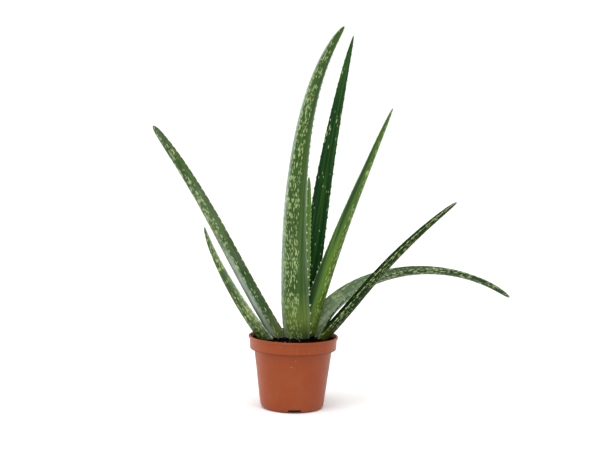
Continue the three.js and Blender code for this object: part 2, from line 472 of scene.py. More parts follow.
@dataclass(frozen=True)
class MouldedPolypropylene(Finish):
    """Terracotta-coloured polypropylene, injection moulded in a lightly blasted tool.

    It gives an even satin red-brown with a faint orange-peel, a paler bloom from handling and watering, and fine
    vertical rubs from being stacked and slid out of other pots.

    Attributes:
        body: The plastic's colour.
        dusty: The colour where dust and lime have dried on it.
        worn: The colour of rubs.
        under_band_shade: The colour of a thin dark line painted in the corner under the rim band: painted shade.
        lime: The colour of dried water specks.
    """

    name: str = "moulded_terracotta_polypropylene"
    body: str = "#8b3d17"
    dusty: str = "#9c5c3c"
    worn: str = "#a95a35"
    under_band_shade: str = "#3d1a0c"
    lime: str = "#c9a695"

    PLASTIC_IOR = 1.49
    ROUGHNESS = (0.34, 0.5)  # satin, duller where dust lies

    # Size of one cell of each pattern, in millimetres; the orange-peel is drawn coarser than it is, to show.
    CLOUDS = (30, 30, 30)
    PEEL = (0.9, 0.9, 0.9)
    RUBS = (1.4, 1.4, 34)
    SPECKS = (2.6, 2.6, 2.6)

    def surface(self, tree: Tree) -> Inputs:
        """Adds the patterns and gives the shader's inputs."""
        cloud = solid_noise(tree, self.CLOUDS, 4.0, 0.55)
        peel = solid_noise(tree, self.PEEL, 2.0)
        rubs = solid_noise(tree, self.RUBS, 3.0)
        specks = solid_noise(tree, self.SPECKS, 1.0)
        height = add_node(tree, "SeparateXYZ", [add_node(tree, "TexCoord").outputs["Object"]]).outputs["Z"]
        corner = add_node(tree, "Math", (height, GrowerPot.shoulder() * MM), operation="SUBTRACT").outputs[0]
        corner = add_node(tree, "Math", [corner], operation="ABSOLUTE").outputs[0]
        layers = (
            (cloud, (0.45, 0.8), 0.3, self.dusty),
            (rubs, (0.62, 0.74), 0.35, self.worn),
            (specks, (0.77, 0.81), 0.45, self.lime),
            # painted shade: a thin dark line painted in the corner under the rim band
            (corner, (1.3 * MM, 0.4 * MM), 0.9, self.under_band_shade),
        )
        bump = add_node(tree, "Bump", {"Height": peel, "Strength": 0.25, "Distance": 0.12 * MM})
        return {
            "Base Color": overlaid(tree, self.body, layers),
            "Roughness": add_node(tree, "MapRange", (cloud, 0.3, 0.7, *self.ROUGHNESS)).outputs[0],
            "IOR": self.PLASTIC_IOR,
            "Specular IOR Level": 0.22,
            "Normal": bump.outputs[0],
        }


@dataclass(frozen=True)
class PeatMix(Finish):
    """Moist peat potting mix: near-black crumbs with brown fibre and a little pale mineral grit, all matt.

    Attributes:
        dark: Colour of the wet crumbs, darkened to near black as painted shade inside the pot.
        brown: Colour of the drier, fibrous ones, also darkened as painted shade.
        grit: Colour of the mineral grains.
    """

    name: str = "moist_peat_mix"
    # painted shade: both crumb colours are darker than the mix's own, standing in for the shade inside the pot
    dark: str = "#030303"
    brown: str = "#160c07"
    grit: str = "#6b7078"

    TONE = "tone"  # attribute that gives each crumb its own shade, 0 to 1
    CLODS = (2.2, 2.2, 2.2)  # size of one cell, in millimetres

    def surface(self, tree: Tree) -> Inputs:
        """Adds the patterns and gives the shader's inputs."""
        tone = add_node(tree, "Attribute", attribute_name=self.TONE).outputs["Fac"]
        clods = solid_noise(tree, self.CLODS, 5.0, 0.7)
        shade = add_node(tree, "Math", (tone, 0.7, clods), operation="MULTIPLY_ADD").outputs[0]
        layers = ((shade, (0.68, 1.2), 1.0, self.brown), (tone, (0.965, 0.975), 0.8, self.grit))
        bump = add_node(tree, "Bump", {"Height": clods, "Strength": 0.9, "Distance": 0.6 * MM})
        return {
            "Base Color": overlaid(tree, self.dark, layers),
            "Roughness": 0.93,
            "IOR": 1.4,
            "Specular IOR Level": 0.02,
            "Normal": bump.outputs[0],
        }


@dataclass(frozen=True)
class CorkyStem(Finish):
    """Short aloe stem: pale fleshy tissue under a thin, ringed, papery brown bark of old leaf scars.

    Attributes:
        flesh: Colour of the young tissue.
        bark: Colour of the scars.
    """

    name: str = "scarred_aloe_stem"
    flesh: str = "#8f8a52"
    bark: str = "#5c4a30"

    RING_SCALE = 1 / (22 * MM)

    def surface(self, tree: Tree) -> Inputs:
        """Adds the patterns and gives the shader's inputs."""
        place = add_node(tree, "TexCoord").outputs["Object"]
        inputs = {"Vector": place, "Scale": self.RING_SCALE, "Distortion": 3.0, "Detail": 3.0}
        rings = add_node(tree, "TexWave", inputs, bands_direction="Z").outputs["Fac"]
        colour = overlaid(tree, self.flesh, [(rings, (0.0, 1.0), 1.0, self.bark)])
        bump = add_node(tree, "Bump", {"Height": rings, "Strength": 0.6, "Distance": 0.5 * MM})
        return {"Base Color": colour, "Roughness": 0.75, "Normal": bump.outputs[0]}


@dataclass(frozen=True)
class StudioPaper(Finish):
    """Matt white background paper, which gives an even pale floor.

    Attributes:
        white: The paper's colour.
    """

    name: str = "white_background_paper"
    white: str = "#fbfbfb"

    def surface(self, tree: Tree) -> Inputs:
        """Adds the patterns and gives the shader's inputs."""
        fibre = solid_noise(tree, (4, 4, 4), 2.0)
        bump = add_node(tree, "Bump", {"Height": fibre, "Strength": 0.05, "Distance": 0.1 * MM})
        return {"Base Color": linear(self.white), "Roughness": 0.9, "Normal": bump.outputs[0]}


# ---- Leaves ----


class Margin(Enum):
    """The two hard edges of a leaf, by the column of the skin where each lies."""

    LEFT = 0
    RIGHT = 1


@dataclass(frozen=True)
class Teeth:
    """The soft spines along both margins.

    Attributes:
        height: Height of the tallest tooth, in metres.
        gap: Distance between teeth low on the leaf, in metres.
        lean: How far a tooth's point lies towards the tip, as a share of its height.
        left: Height of the left margin's teeth, as a share of the right one's.
        start: Share of the leaf's length where they start, below the soil.
    """

    height: float = 3.0 * MM
    gap: float = 13.0 * MM
    lean: float = 0.45
    left: float = 1.0
    start: float = 0.05

    LAST = 0.965  # share of the length where they end
    HEIGHT_LOSS, GAP_LOSS = 0.8, 0.35  # share of the height and of the gap lost by the tip
    HEIGHT_SPREAD, GAP_SPREAD = (0.7, 1.1), (0.75, 1.25)
    # Share of a tooth's height at each stage, and how wide it is there as a share of the stage below.
    STAGES = ((0.4, 0.6), (0.75, 0.5), (1.0, 0.15))


@dataclass
class Leaf:
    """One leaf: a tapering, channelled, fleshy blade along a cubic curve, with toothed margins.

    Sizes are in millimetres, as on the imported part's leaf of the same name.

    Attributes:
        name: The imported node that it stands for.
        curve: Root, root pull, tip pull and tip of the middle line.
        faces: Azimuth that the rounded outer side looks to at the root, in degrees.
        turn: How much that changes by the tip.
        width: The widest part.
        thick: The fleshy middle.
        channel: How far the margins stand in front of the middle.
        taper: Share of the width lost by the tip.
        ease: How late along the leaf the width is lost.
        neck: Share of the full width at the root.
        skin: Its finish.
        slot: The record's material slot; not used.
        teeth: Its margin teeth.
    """

    name: str
    curve: tuple[Point, ...]
    faces: float
    turn: float
    width: float
    thick: float
    channel: float
    taper: float
    ease: float
    neck: float
    skin: AloeSkin
    slot: str = "leaf_skin"
    teeth: Teeth = field(default_factory=Teeth)

    SIDES = 56
    SAMPLES = 600  # along the middle line, to measure it by
    RING_GAP = 1.9  # between rings along the leaf
    OUTER_FLESH = 0.72  # share of the thickness on the outer side
    NECK_LENGTH = 0.16  # share of the leaf's length
    TIP_SHARPNESS = 24
    FULLNESS = 0.86  # under 1 keeps the blade thicker towards its margins
    WAVER, WAVES = 0.35, 9  # how far the margins wander, and how often
    INNER_SHIFT = 1.0  # moves the inner side's patterns clear of the outer side's, in metres
    WELD = 0.004 * MM
    SLIVER = 0.002 * MM
    UV_NAME = "skin"
    EDGE, ALONG, OUTER, ACROSS, TOOTH = "edge", "along", "outer", "across", "tooth"

    def _point(self, t: float) -> Vector:
        """The middle line at curve parameter t."""
        a, b, c, d = (Vector(p) for p in self.curve)
        s = 1 - t
        return s**3 * a + 3 * s * s * t * b + 3 * s * t * t * c + t**3 * d

    def _slope(self, t: float) -> Vector:
        """The middle line's direction at curve parameter t."""
        a, b, c, d = (Vector(p) for p in self.curve)
        s = 1 - t
        return (s * s * (b - a) + 2 * s * t * (c - b) + t * t * (d - c)).normalized()

    def _even_parameters(self, count: int) -> tuple[list[float], float]:
        """Curve parameters at even distances along the middle line.

        Args:
            count: How many steps to divide the line into.

        Returns:
            The count + 1 parameters, and the line's length in millimetres.
        """
        samples = self.SAMPLES
        points = [self._point(i / samples) for i in range(samples + 1)]
        reached = [0.0]
        for here, there in zip(points, points[1:]):
            reached.append(reached[-1] + (there - here).length)
        length = reached[-1]
        parameters, i = [], 0
        for step in range(count + 1):
            wanted = length * step / count
            while i < samples - 1 and reached[i + 1] < wanted:
                i += 1
            part = (wanted - reached[i]) / (reached[i + 1] - reached[i])
            parameters.append(min((i + part) / samples, 1.0))
        return parameters, length

    def _share(self, u: float) -> float:
        """How much of its full section the leaf has at a share u of its length."""
        taper = 1 - self.taper * u**self.ease
        tip = math.sqrt(max(0.0, 1 - u**self.TIP_SHARPNESS))
        neck = 1 - (1 - self.neck) * max(0.0, 1 - u / self.NECK_LENGTH) ** 2
        return taper * tip * neck

    def _outline(self, angle: float) -> Pair:
        """The full section: how far across and how far outwards, for an angle from the outer side's middle."""
        across, outwards = math.sin(angle), math.cos(angle)
        flesh = self.thick * (self.OUTER_FLESH if outwards > 0 else 1 - self.OUTER_FLESH)
        height = math.copysign(abs(outwards) ** self.FULLNESS, outwards)
        return 0.5 * self.width * across, flesh * height - self.channel * across * across

    def _columns(self) -> list[tuple[float, float, float, float]]:
        """The full section's columns, from the left margin over the outer side and back over the inner side.

        Returns:
            For each: across, outwards, distance along the skin from the middle of its own side, and the cosine that
            says which side it lies on.
        """
        angles = [-0.5 * math.pi + 2 * math.pi * i / self.SIDES for i in range(self.SIDES + 1)]
        outline = [self._outline(angle) for angle in angles]
        lengths = [0.0]
        for (x0, y0), (x1, y1) in zip(outline, outline[1:]):
            lengths.append(lengths[-1] + math.hypot(x1 - x0, y1 - y0))
        quarter, middle = self.SIDES // 4, self.SIDES // 2
        return [
            (x, y, lengths[i] - lengths[quarter if i <= middle else 3 * quarter], math.cos(angle))
            for i, ((x, y), angle) in enumerate(zip(outline, angles))
        ]

    def _lay_skin(self, shape: bmesh.types.BMesh) -> float:
        """Lays a flat grid round the leaf's section and along its middle line, with its UV map and attributes.

        Args:
            shape: An empty bmesh, which gets the skin, in metres.

        Returns:
            The leaf's length in millimetres.
        """
        rings = round(sum((Vector(b) - Vector(a)).length for a, b in zip(self.curve, self.curve[1:])) / self.RING_GAP)
        parameters, length = self._even_parameters(rings)
        columns = self._columns()
        half_skin = abs(columns[0][2])
        bmesh.ops.create_grid(shape, x_segments=self.SIDES, y_segments=rings, size=0.5)
        layers = shape.verts.layers.float
        edge, along, outer, sideward = (layers.new(name) for name in (self.EDGE, self.ALONG, self.OUTER, self.ACROSS))
        layers.new(self.TOOTH)
        cell = shape.faces.layers.int.new("cell")
        skin = shape.loops.layers.uv.new(self.UV_NAME)

        for face in shape.faces:
            middle = face.calc_center_median()
            column = int((middle.x + 0.5) * self.SIDES)
            ring = int((middle.y + 0.5) * rings)
            face[cell] = ring * self.SIDES + column
            inside = column >= self.SIDES // 2
            for loop in face.loops:
                at = round((loop.vert.co.x + 0.5) * self.SIDES)
                u = loop.vert.co.y + 0.5
                around = columns[at][2]
                if inside and at == self.SIDES // 2:
                    around = -abs(columns[-1][2])
                shift = self.INNER_SHIFT if inside else 0.0
                loop[skin].uv = around * self._share(u) * MM + shift, u * length * MM

        stations = []
        for i, t in enumerate(parameters):
            u = i / rings
            forward = self._slope(t)
            azimuth = math.radians(self.faces + self.turn * u)
            level = Vector((-math.sin(azimuth), math.cos(azimuth), 0))
            sideways = (level - level.project(forward)).normalized()
            waver = self.WAVER * noise.noise(Vector((u * self.WAVES, self.skin.seed, 0.5)))
            stations.append((self._point(t) + sideways * waver, sideways, sideways.cross(forward), self._share(u)))
        for vert in shape.verts:
            column = round((vert.co.x + 0.5) * self.SIDES)
            ring = round((vert.co.y + 0.5) * rings)
            across, outwards, around, side = columns[column]
            middle, sideways, outer_way, share = stations[ring]
            vert[edge] = (half_skin - abs(around)) * share * MM
            vert[along] = ring / rings
            vert[outer] = side
            vert[sideward] = 2 * across / self.width
            vert.co = (middle + (sideways * across + outer_way * outwards) * share) * MM
        return length

    def _grow_teeth(self, shape: bmesh.types.BMesh, length: float) -> None:
        """Draws the margin teeth out of the skin.

        Args:
            shape: The leaf's closed skin.
            length: The leaf's length in millimetres.
        """
        cell = shape.faces.layers.int["cell"]
        faces = {face[cell]: face for face in shape.faces}
        rings = max(faces) // self.SIDES + 1
        draw = random.Random(int(self.skin.seed * 1000))
        for margin in Margin:
            at = self.teeth.start * length + draw.uniform(0, 1) * self.teeth.gap / MM
            while at < self.teeth.LAST * length:
                u = at / length
                ring = int(u * rings)
                first = 0 if margin is Margin.LEFT else self.SIDES // 2
                cells = [
                    step * self.SIDES + column
                    for step in (ring, ring + 1)
                    for column in (first, (first - 1) % self.SIDES)
                ]
                height = self.teeth.height * (1 - self.teeth.HEIGHT_LOSS * u) * draw.uniform(*self.teeth.HEIGHT_SPREAD)
                if margin is Margin.LEFT:
                    height *= self.teeth.left
                at += self.teeth.gap / MM * (1 - self.teeth.GAP_LOSS * u) * draw.uniform(*self.teeth.GAP_SPREAD)
                if all(number in faces for number in cells):
                    self._draw_tooth(shape, [faces[number] for number in cells], height)

    def _draw_tooth(self, shape: bmesh.types.BMesh, foot: list[bmesh.types.BMFace], height: float) -> None:
        """Draws one tooth out of the skin faces that meet at a margin.

        Args:
            shape: The leaf's skin.
            foot: The faces that it stands on.
            height: Its height in metres.
        """
        layers = shape.verts.layers.float
        tooth, edge, along = (layers[name] for name in (self.TOOTH, self.EDGE, self.ALONG))
        normal = sum((face.normal for face in foot), Vector()).normalized()
        centre = sum((face.calc_center_median() for face in foot), Vector()) / len(foot)
        verts = sorted({vert for face in foot for vert in face.verts}, key=lambda vert: vert[along])
        forward = (verts[-1].co - verts[0].co).normalized()
        for rise, keep in self.teeth.STAGES:
            made = bmesh.ops.extrude_face_region(shape, geom=foot)["geom"]
            bmesh.ops.delete(shape, geom=foot, context="FACES_ONLY")
            foot = [item for item in made if isinstance(item, bmesh.types.BMFace)]
            moved = [item for item in made if isinstance(item, bmesh.types.BMVert)]
            old = sum((vert.co for vert in moved), Vector()) / len(moved)
            new = centre + (normal + forward * self.teeth.lean * rise) * height * rise
            for vert in moved:
                vert.co = new + (vert.co - old) * keep
                vert[tooth] = rise
                vert[edge] = 0.0

    def build(self) -> bpy.types.Object:
        """Builds the leaf's finished piece."""
        shape = bmesh.new()
        length = self._lay_skin(shape)
        bmesh.ops.remove_doubles(shape, verts=shape.verts, dist=self.WELD)
        bmesh.ops.dissolve_degenerate(shape, edges=shape.edges, dist=self.SLIVER)
        bmesh.ops.holes_fill(shape, edges=[e for e in shape.edges if e.is_boundary], sides=0)
        shape.normal_update()
        self._grow_teeth(shape, length)
        shape.normal_update()
        return finished_piece(self.name + "_blade", shape, self.skin.material(), [self.name])


# ---- Pot and potting mix ----


def spun(profile: Sequence[Pair], steps: int) -> bmesh.types.BMesh:
    """Spins a profile round the Z axis into a closed shape.

    Args:
        profile: Radius and height pairs in millimetres, from axis to axis.
        steps: How many steps the full turn has.

    Returns:
        The shape, in metres, with its faces outwards.
    """
    shape = bmesh.new()
    verts = [shape.verts.new((radius * MM, 0, height * MM)) for radius, height in profile]
    edges = [shape.edges.new(pair) for pair in zip(verts, verts[1:])]
    turn = {"cent": (0, 0, 0), "axis": (0, 0, 1), "angle": 2 * math.pi, "steps": steps}
    bmesh.ops.spin(shape, geom=verts + edges, use_merge=True, **turn)
    bmesh.ops.remove_doubles(shape, verts=shape.verts, dist=0.002 * MM)
    bmesh.ops.dissolve_degenerate(shape, edges=shape.edges, dist=0.001 * MM)
    bmesh.ops.recalc_face_normals(shape, faces=shape.faces)
    return shape


def arc(centre: Pair, radius: float, start: float, end: float, steps: int) -> list[Pair]:
    """Points of an arc in the profile's plane.

    Args:
        centre: Radius and height of its centre.
        radius: Its radius.
        start: Its first angle, in degrees from straight outwards.
        end: Its last angle.
        steps: How many steps it has.

    Returns:
        Radius and height pairs.
    """
    angles = [math.radians(start + (end - start) * i / steps) for i in range(steps + 1)]
    return [(centre[0] + radius * math.cos(a), centre[1] + radius * math.sin(a)) for a in angles]


@dataclass
class GrowerPot:
    """The round tapered pot with its rim band, rounded foot and drainage notches. Sizes are in millimetres.

    Attributes:
        finish: Its plastic.
    """

    finish: MouldedPolypropylene = field(default_factory=MouldedPolypropylene)

    LIP_HEIGHT = 3.0
    BAND_HEIGHT = 17.5
    BAND_TOP_RADIUS = 58.5
    BAND_FOOT_RADIUS = 57.7
    SHOULDER_RADIUS = 52.3
    FOOT_RADIUS = 42.7
    FOOT_ROUND = 6.5
    WALL = 1.3
    FLOOR = 1.5
    EDGE_ROUND = 0.55
    SHOULDER_ROUND = 0.6
    LIP_CORNER = 0.5
    LIP_ROUND = 0.9
    MOUTH_ROUND = 0.7
    NOTCH = (24.0, 17.0, 9.6)
    NOTCH_COUNT = 4
    NOTCH_TURN = 5.5
    NOTCH_ROUND = 0.8
    STEPS = 144
    CREASE = 38  # degrees

    # Radius and height pairs of the underside, with its sprue and its moulded ring.
    UNDERSIDE = (
        (0, 0.0), (2.2, 0.0), (2.4, 0.35), (4.2, 0.35), (4.4, 0.0), (27.5, 0.0), (28.0, 0.4), (30.0, 0.4), (30.5, 0.0),
    )

    @classmethod
    def shoulder(cls) -> float:
        """Height of the rim band's foot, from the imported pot's height."""
        low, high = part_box("pot")
        return (high.z - low.z) / MM - cls.BAND_HEIGHT

    def _profile(self, rim: float, height: float) -> list[Pair]:
        """The wall's closed section.

        Args:
            rim: The rim's outer radius.
            height: The pot's height.

        Returns:
            Radius and height pairs from the underside's middle, up the outside, and down the inside.
        """
        shoulder = height - self.BAND_HEIGHT
        rounding, corner, lip, mouth = self.EDGE_ROUND, self.LIP_CORNER, self.LIP_ROUND, self.MOUTH_ROUND
        foot_centre = (self.FOOT_RADIUS - self.FOOT_ROUND, self.FOOT_ROUND)
        lean = math.degrees(math.atan2(self.SHOULDER_RADIUS - self.FOOT_RADIUS, shoulder))
        outside = [
            *arc(foot_centre, self.FOOT_ROUND, -90, -lean, 8),
            *arc((self.SHOULDER_RADIUS + 0.4, shoulder - self.SHOULDER_ROUND), self.SHOULDER_ROUND, 180 - lean, 90, 3),
            *arc((self.BAND_FOOT_RADIUS - rounding, shoulder + rounding), rounding, -90, 0, 4),
            *arc((self.BAND_TOP_RADIUS + corner, height - self.LIP_HEIGHT - corner), corner, 180, 90, 3),
            *arc((rim - rounding, height - self.LIP_HEIGHT + rounding), rounding, -90, 0, 3),
            *arc((rim - lip, height - lip), lip, 0, 90, 5),
        ]
        inner_rim = self.BAND_TOP_RADIUS - self.WALL
        inside = [
            *arc((inner_rim + mouth, height - mouth), mouth, 90, 180, 4),
            (self.BAND_FOOT_RADIUS - self.WALL, shoulder + self.WALL + 0.6),
            (self.BAND_FOOT_RADIUS - self.WALL - 0.6, shoulder + self.WALL),
            (self.SHOULDER_RADIUS - self.WALL, shoulder + self.WALL - 0.6),
            *arc(foot_centre, self.FOOT_ROUND - self.WALL, -lean, -90, 6)[:-1],
            (self.FOOT_RADIUS - self.FOOT_ROUND, self.FLOOR),
            (0, self.FLOOR),
        ]
        return [*self.UNDERSIDE, *outside, *inside]

    def _notch_cutter(self) -> bpy.types.Object:
        """The four rounded blocks that cut the drainage notches.

        Returns:
            An object, to be removed after the cut.
        """
        shape = bmesh.new()
        for i in range(self.NOTCH_COUNT):
            turn = Matrix.Rotation(math.radians(-90 + self.NOTCH_TURN + 360 / self.NOTCH_COUNT * i), 4, "Z")
            move = Matrix.Translation((self.FOOT_RADIUS * MM, 0, 0))
            size = Matrix.Diagonal((*(side * MM for side in self.NOTCH), 1))
            bmesh.ops.create_cube(shape, size=1.0, matrix=turn @ move @ size)
        rounding = {"offset": self.NOTCH_ROUND * MM, "offset_type": "OFFSET", "segments": 3, "profile": 0.5}
        bmesh.ops.bevel(shape, geom=shape.edges[:], affect="EDGES", material=-1, **rounding)
        return new_object("notch_cutter", new_mesh("notch_cutter", shape))

    def build(self) -> bpy.types.Object:
        """Builds the pot's finished piece."""
        low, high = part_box("pot")
        shape = spun(self._profile(high.x / MM, (high.z - low.z) / MM), self.STEPS)
        pot = finished_piece("pot_shell", shape, self.finish.material(), ["pot"])
        cutter = self._notch_cutter()
        cut = pot.modifiers.new("notches", "BOOLEAN")
        cut.object, cut.operation, cut.solver = cutter, "DIFFERENCE", "EXACT"
        evaluated = pot.evaluated_get(bpy.context.evaluated_depsgraph_get())
        mesh = bpy.data.meshes.new_from_object(evaluated)
        pot.modifiers.clear()
        pot.data = mesh
        mesh.set_sharp_from_angle(angle=math.radians(self.CREASE))
        bpy.data.objects.remove(cutter)
        return pot


@dataclass
class PottingMix:
    """The plug of moist mix, heaped a little round the plant, with loose crumbs and fibres on top.

    Attributes:
        finish: The mix's look.
        crumbs: How many loose crumbs lie on it.
        fibres: How many loose fibres lie on it.
        seed: Makes the same mix each time.
    """

    finish: PeatMix = field(default_factory=PeatMix)
    crumbs: int = 2400
    fibres: int = 190
    seed: int = 12

    HEAP = 4.0  # how much higher it is in the middle
    ROUGH = 1.1  # how high its lumps are
    LUMP = 9  # how wide they are
    PLUG_TONE = 0.35  # the plug's own shade
    CRUMB_SIZES = (0.45, 2.1)  # radius of the smallest and the largest
    CRUMB_STRETCH = (0.65, 1.2)
    CRUMB_RAGGED = 0.22  # how far its corners are moved, as a share of its size
    FIBRE_LENGTHS, FIBRE_RADII = (3, 9), (0.14, 0.42)
    FIBRE_LEANS = (-0.22, 0.3)  # radians from level
    FIBRE_TONES = (0.6, 0.95)
    ANY_TURN = (0, 6.3)  # radians
    FOOT_SLOPE = 6  # width and height of the plug's sloping foot
    SHOULDER_DEPTH = 10.5  # from the mix at the rim down to the pot's shoulder
    EDGE_RINGS = (1.0, 0.985, 0.96)  # shares of the radius
    STEPS = 120

    def __post_init__(self) -> None:
        """Takes the plug's size from the packed soil."""
        low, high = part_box("soil")
        self.radius = high.x / MM + 0.25
        self.top = high.z / MM
        self.bottom = low.z / MM

    def _surface(self, x: float, y: float) -> float:
        """Height of the mix, in millimetres, at a place in millimetres."""
        share = min(1.0, math.hypot(x, y) / self.radius)
        lumps = noise.fractal(Vector((x / self.LUMP, y / self.LUMP, 3.1)), 0.7, 2.0, 5)
        return self.top - self.HEAP * share**2 + self.ROUGH * lumps * (1 - 0.5 * share**6)

    def _plug(self, material: bpy.types.Material) -> bpy.types.Object:
        """Builds the plug's finished piece."""
        pot = GrowerPot
        foot, bottom = pot.FOOT_RADIUS - pot.WALL - 0.3, self.bottom
        shoulder = self.top - self.HEAP - self.SHOULDER_DEPTH
        rings = [self.radius * share for share in self.EDGE_RINGS]
        rings += [self.radius * i / 46 for i in range(43, 0, -1)]
        profile = [
            (0, bottom),
            (foot - self.FOOT_SLOPE, bottom),
            (foot, bottom + self.FOOT_SLOPE),
            (pot.SHOULDER_RADIUS - pot.WALL - 0.4, shoulder),
            (pot.BAND_FOOT_RADIUS - pot.WALL - 0.7, shoulder + 1.6),
            *((radius, self.top) for radius in rings),
            (0, self.top),
        ]
        shape = spun(profile, self.STEPS)
        tone = shape.verts.layers.float.new(PeatMix.TONE)
        for vert in shape.verts:
            if vert.co.z > (self.top - 0.01) * MM:
                x, y = vert.co.x / MM, vert.co.y / MM
                vert.co.z = self._surface(x, y) * MM
            vert[tone] = self.PLUG_TONE
        return finished_piece("potting_mix_plug", shape, material, ["soil"])

    def _scatter(self, draw: random.Random, crowd: float) -> Pair:
        """A random place on the mix.

        Args:
            draw: The random numbers.
            crowd: Over 0.5 puts fewer places near the rim.

        Returns:
            Its x and y in millimetres.
        """
        radius = (self.radius - 1.5) * draw.random() ** crowd
        angle = draw.uniform(0, 2 * math.pi)
        return radius * math.cos(angle), radius * math.sin(angle)

    def _loose_crumbs(self, material: bpy.types.Material) -> bpy.types.Object:
        """Builds the crumbs' finished piece."""
        draw = random.Random(self.seed)
        shape = bmesh.new()
        tone = shape.verts.layers.float.new(PeatMix.TONE)
        smallest, largest = self.CRUMB_SIZES
        for _ in range(self.crumbs):
            x, y = self._scatter(draw, 0.5)
            size = min(smallest + draw.expovariate(1.9), largest)
            stretch = [size * draw.uniform(*self.CRUMB_STRETCH) * MM for _ in range(3)]
            place = Vector((x, y, self._surface(x, y) + 0.25 * size)) * MM
            turn = Euler([draw.uniform(*self.ANY_TURN) for _ in range(3)]).to_matrix().to_4x4()
            matrix = Matrix.Translation(place) @ turn @ Matrix.Diagonal((*stretch, 1))
            made = bmesh.ops.create_icosphere(shape, subdivisions=1, radius=1.0, matrix=matrix)
            shade = draw.random()
            for vert in made["verts"]:
                vert.co += Vector([draw.uniform(-1, 1) for _ in range(3)]) * self.CRUMB_RAGGED * size * MM
                vert[tone] = shade
        return finished_piece("potting_mix_crumbs", shape, material, crease=50)

    def _loose_fibres(self, material: bpy.types.Material) -> bpy.types.Object:
        """Builds the finished piece of fibres and bits of bark."""
        draw = random.Random(self.seed + 1)
        shape = bmesh.new()
        tone = shape.verts.layers.float.new(PeatMix.TONE)
        for _ in range(self.fibres):
            x, y = self._scatter(draw, 0.55)
            length = draw.uniform(*self.FIBRE_LENGTHS)
            thick = draw.uniform(*self.FIBRE_RADII)
            lean = draw.uniform(*self.FIBRE_LEANS)
            place = Vector((x, y, self._surface(x, y) + thick + abs(lean) * length / 3)) * MM
            turn = Euler((math.pi / 2 + lean, 0, draw.uniform(*self.ANY_TURN))).to_matrix().to_4x4()
            size = {"radius1": thick * MM, "radius2": 0.6 * thick * MM, "depth": length * MM, "segments": 6}
            made = bmesh.ops.create_cone(shape, cap_ends=True, matrix=Matrix.Translation(place) @ turn, **size)
            shade = draw.uniform(*self.FIBRE_TONES)
            for vert in made["verts"]:
                vert[tone] = shade
        return finished_piece("potting_mix_fibres", shape, material, crease=50)

    def build(self) -> list[bpy.types.Object]:
        """Builds the plug, the crumbs and the fibres."""
        material = self.finish.material()
        return [make(material) for make in (self._plug, self._loose_crumbs, self._loose_fibres)]


# ---- Plant ----


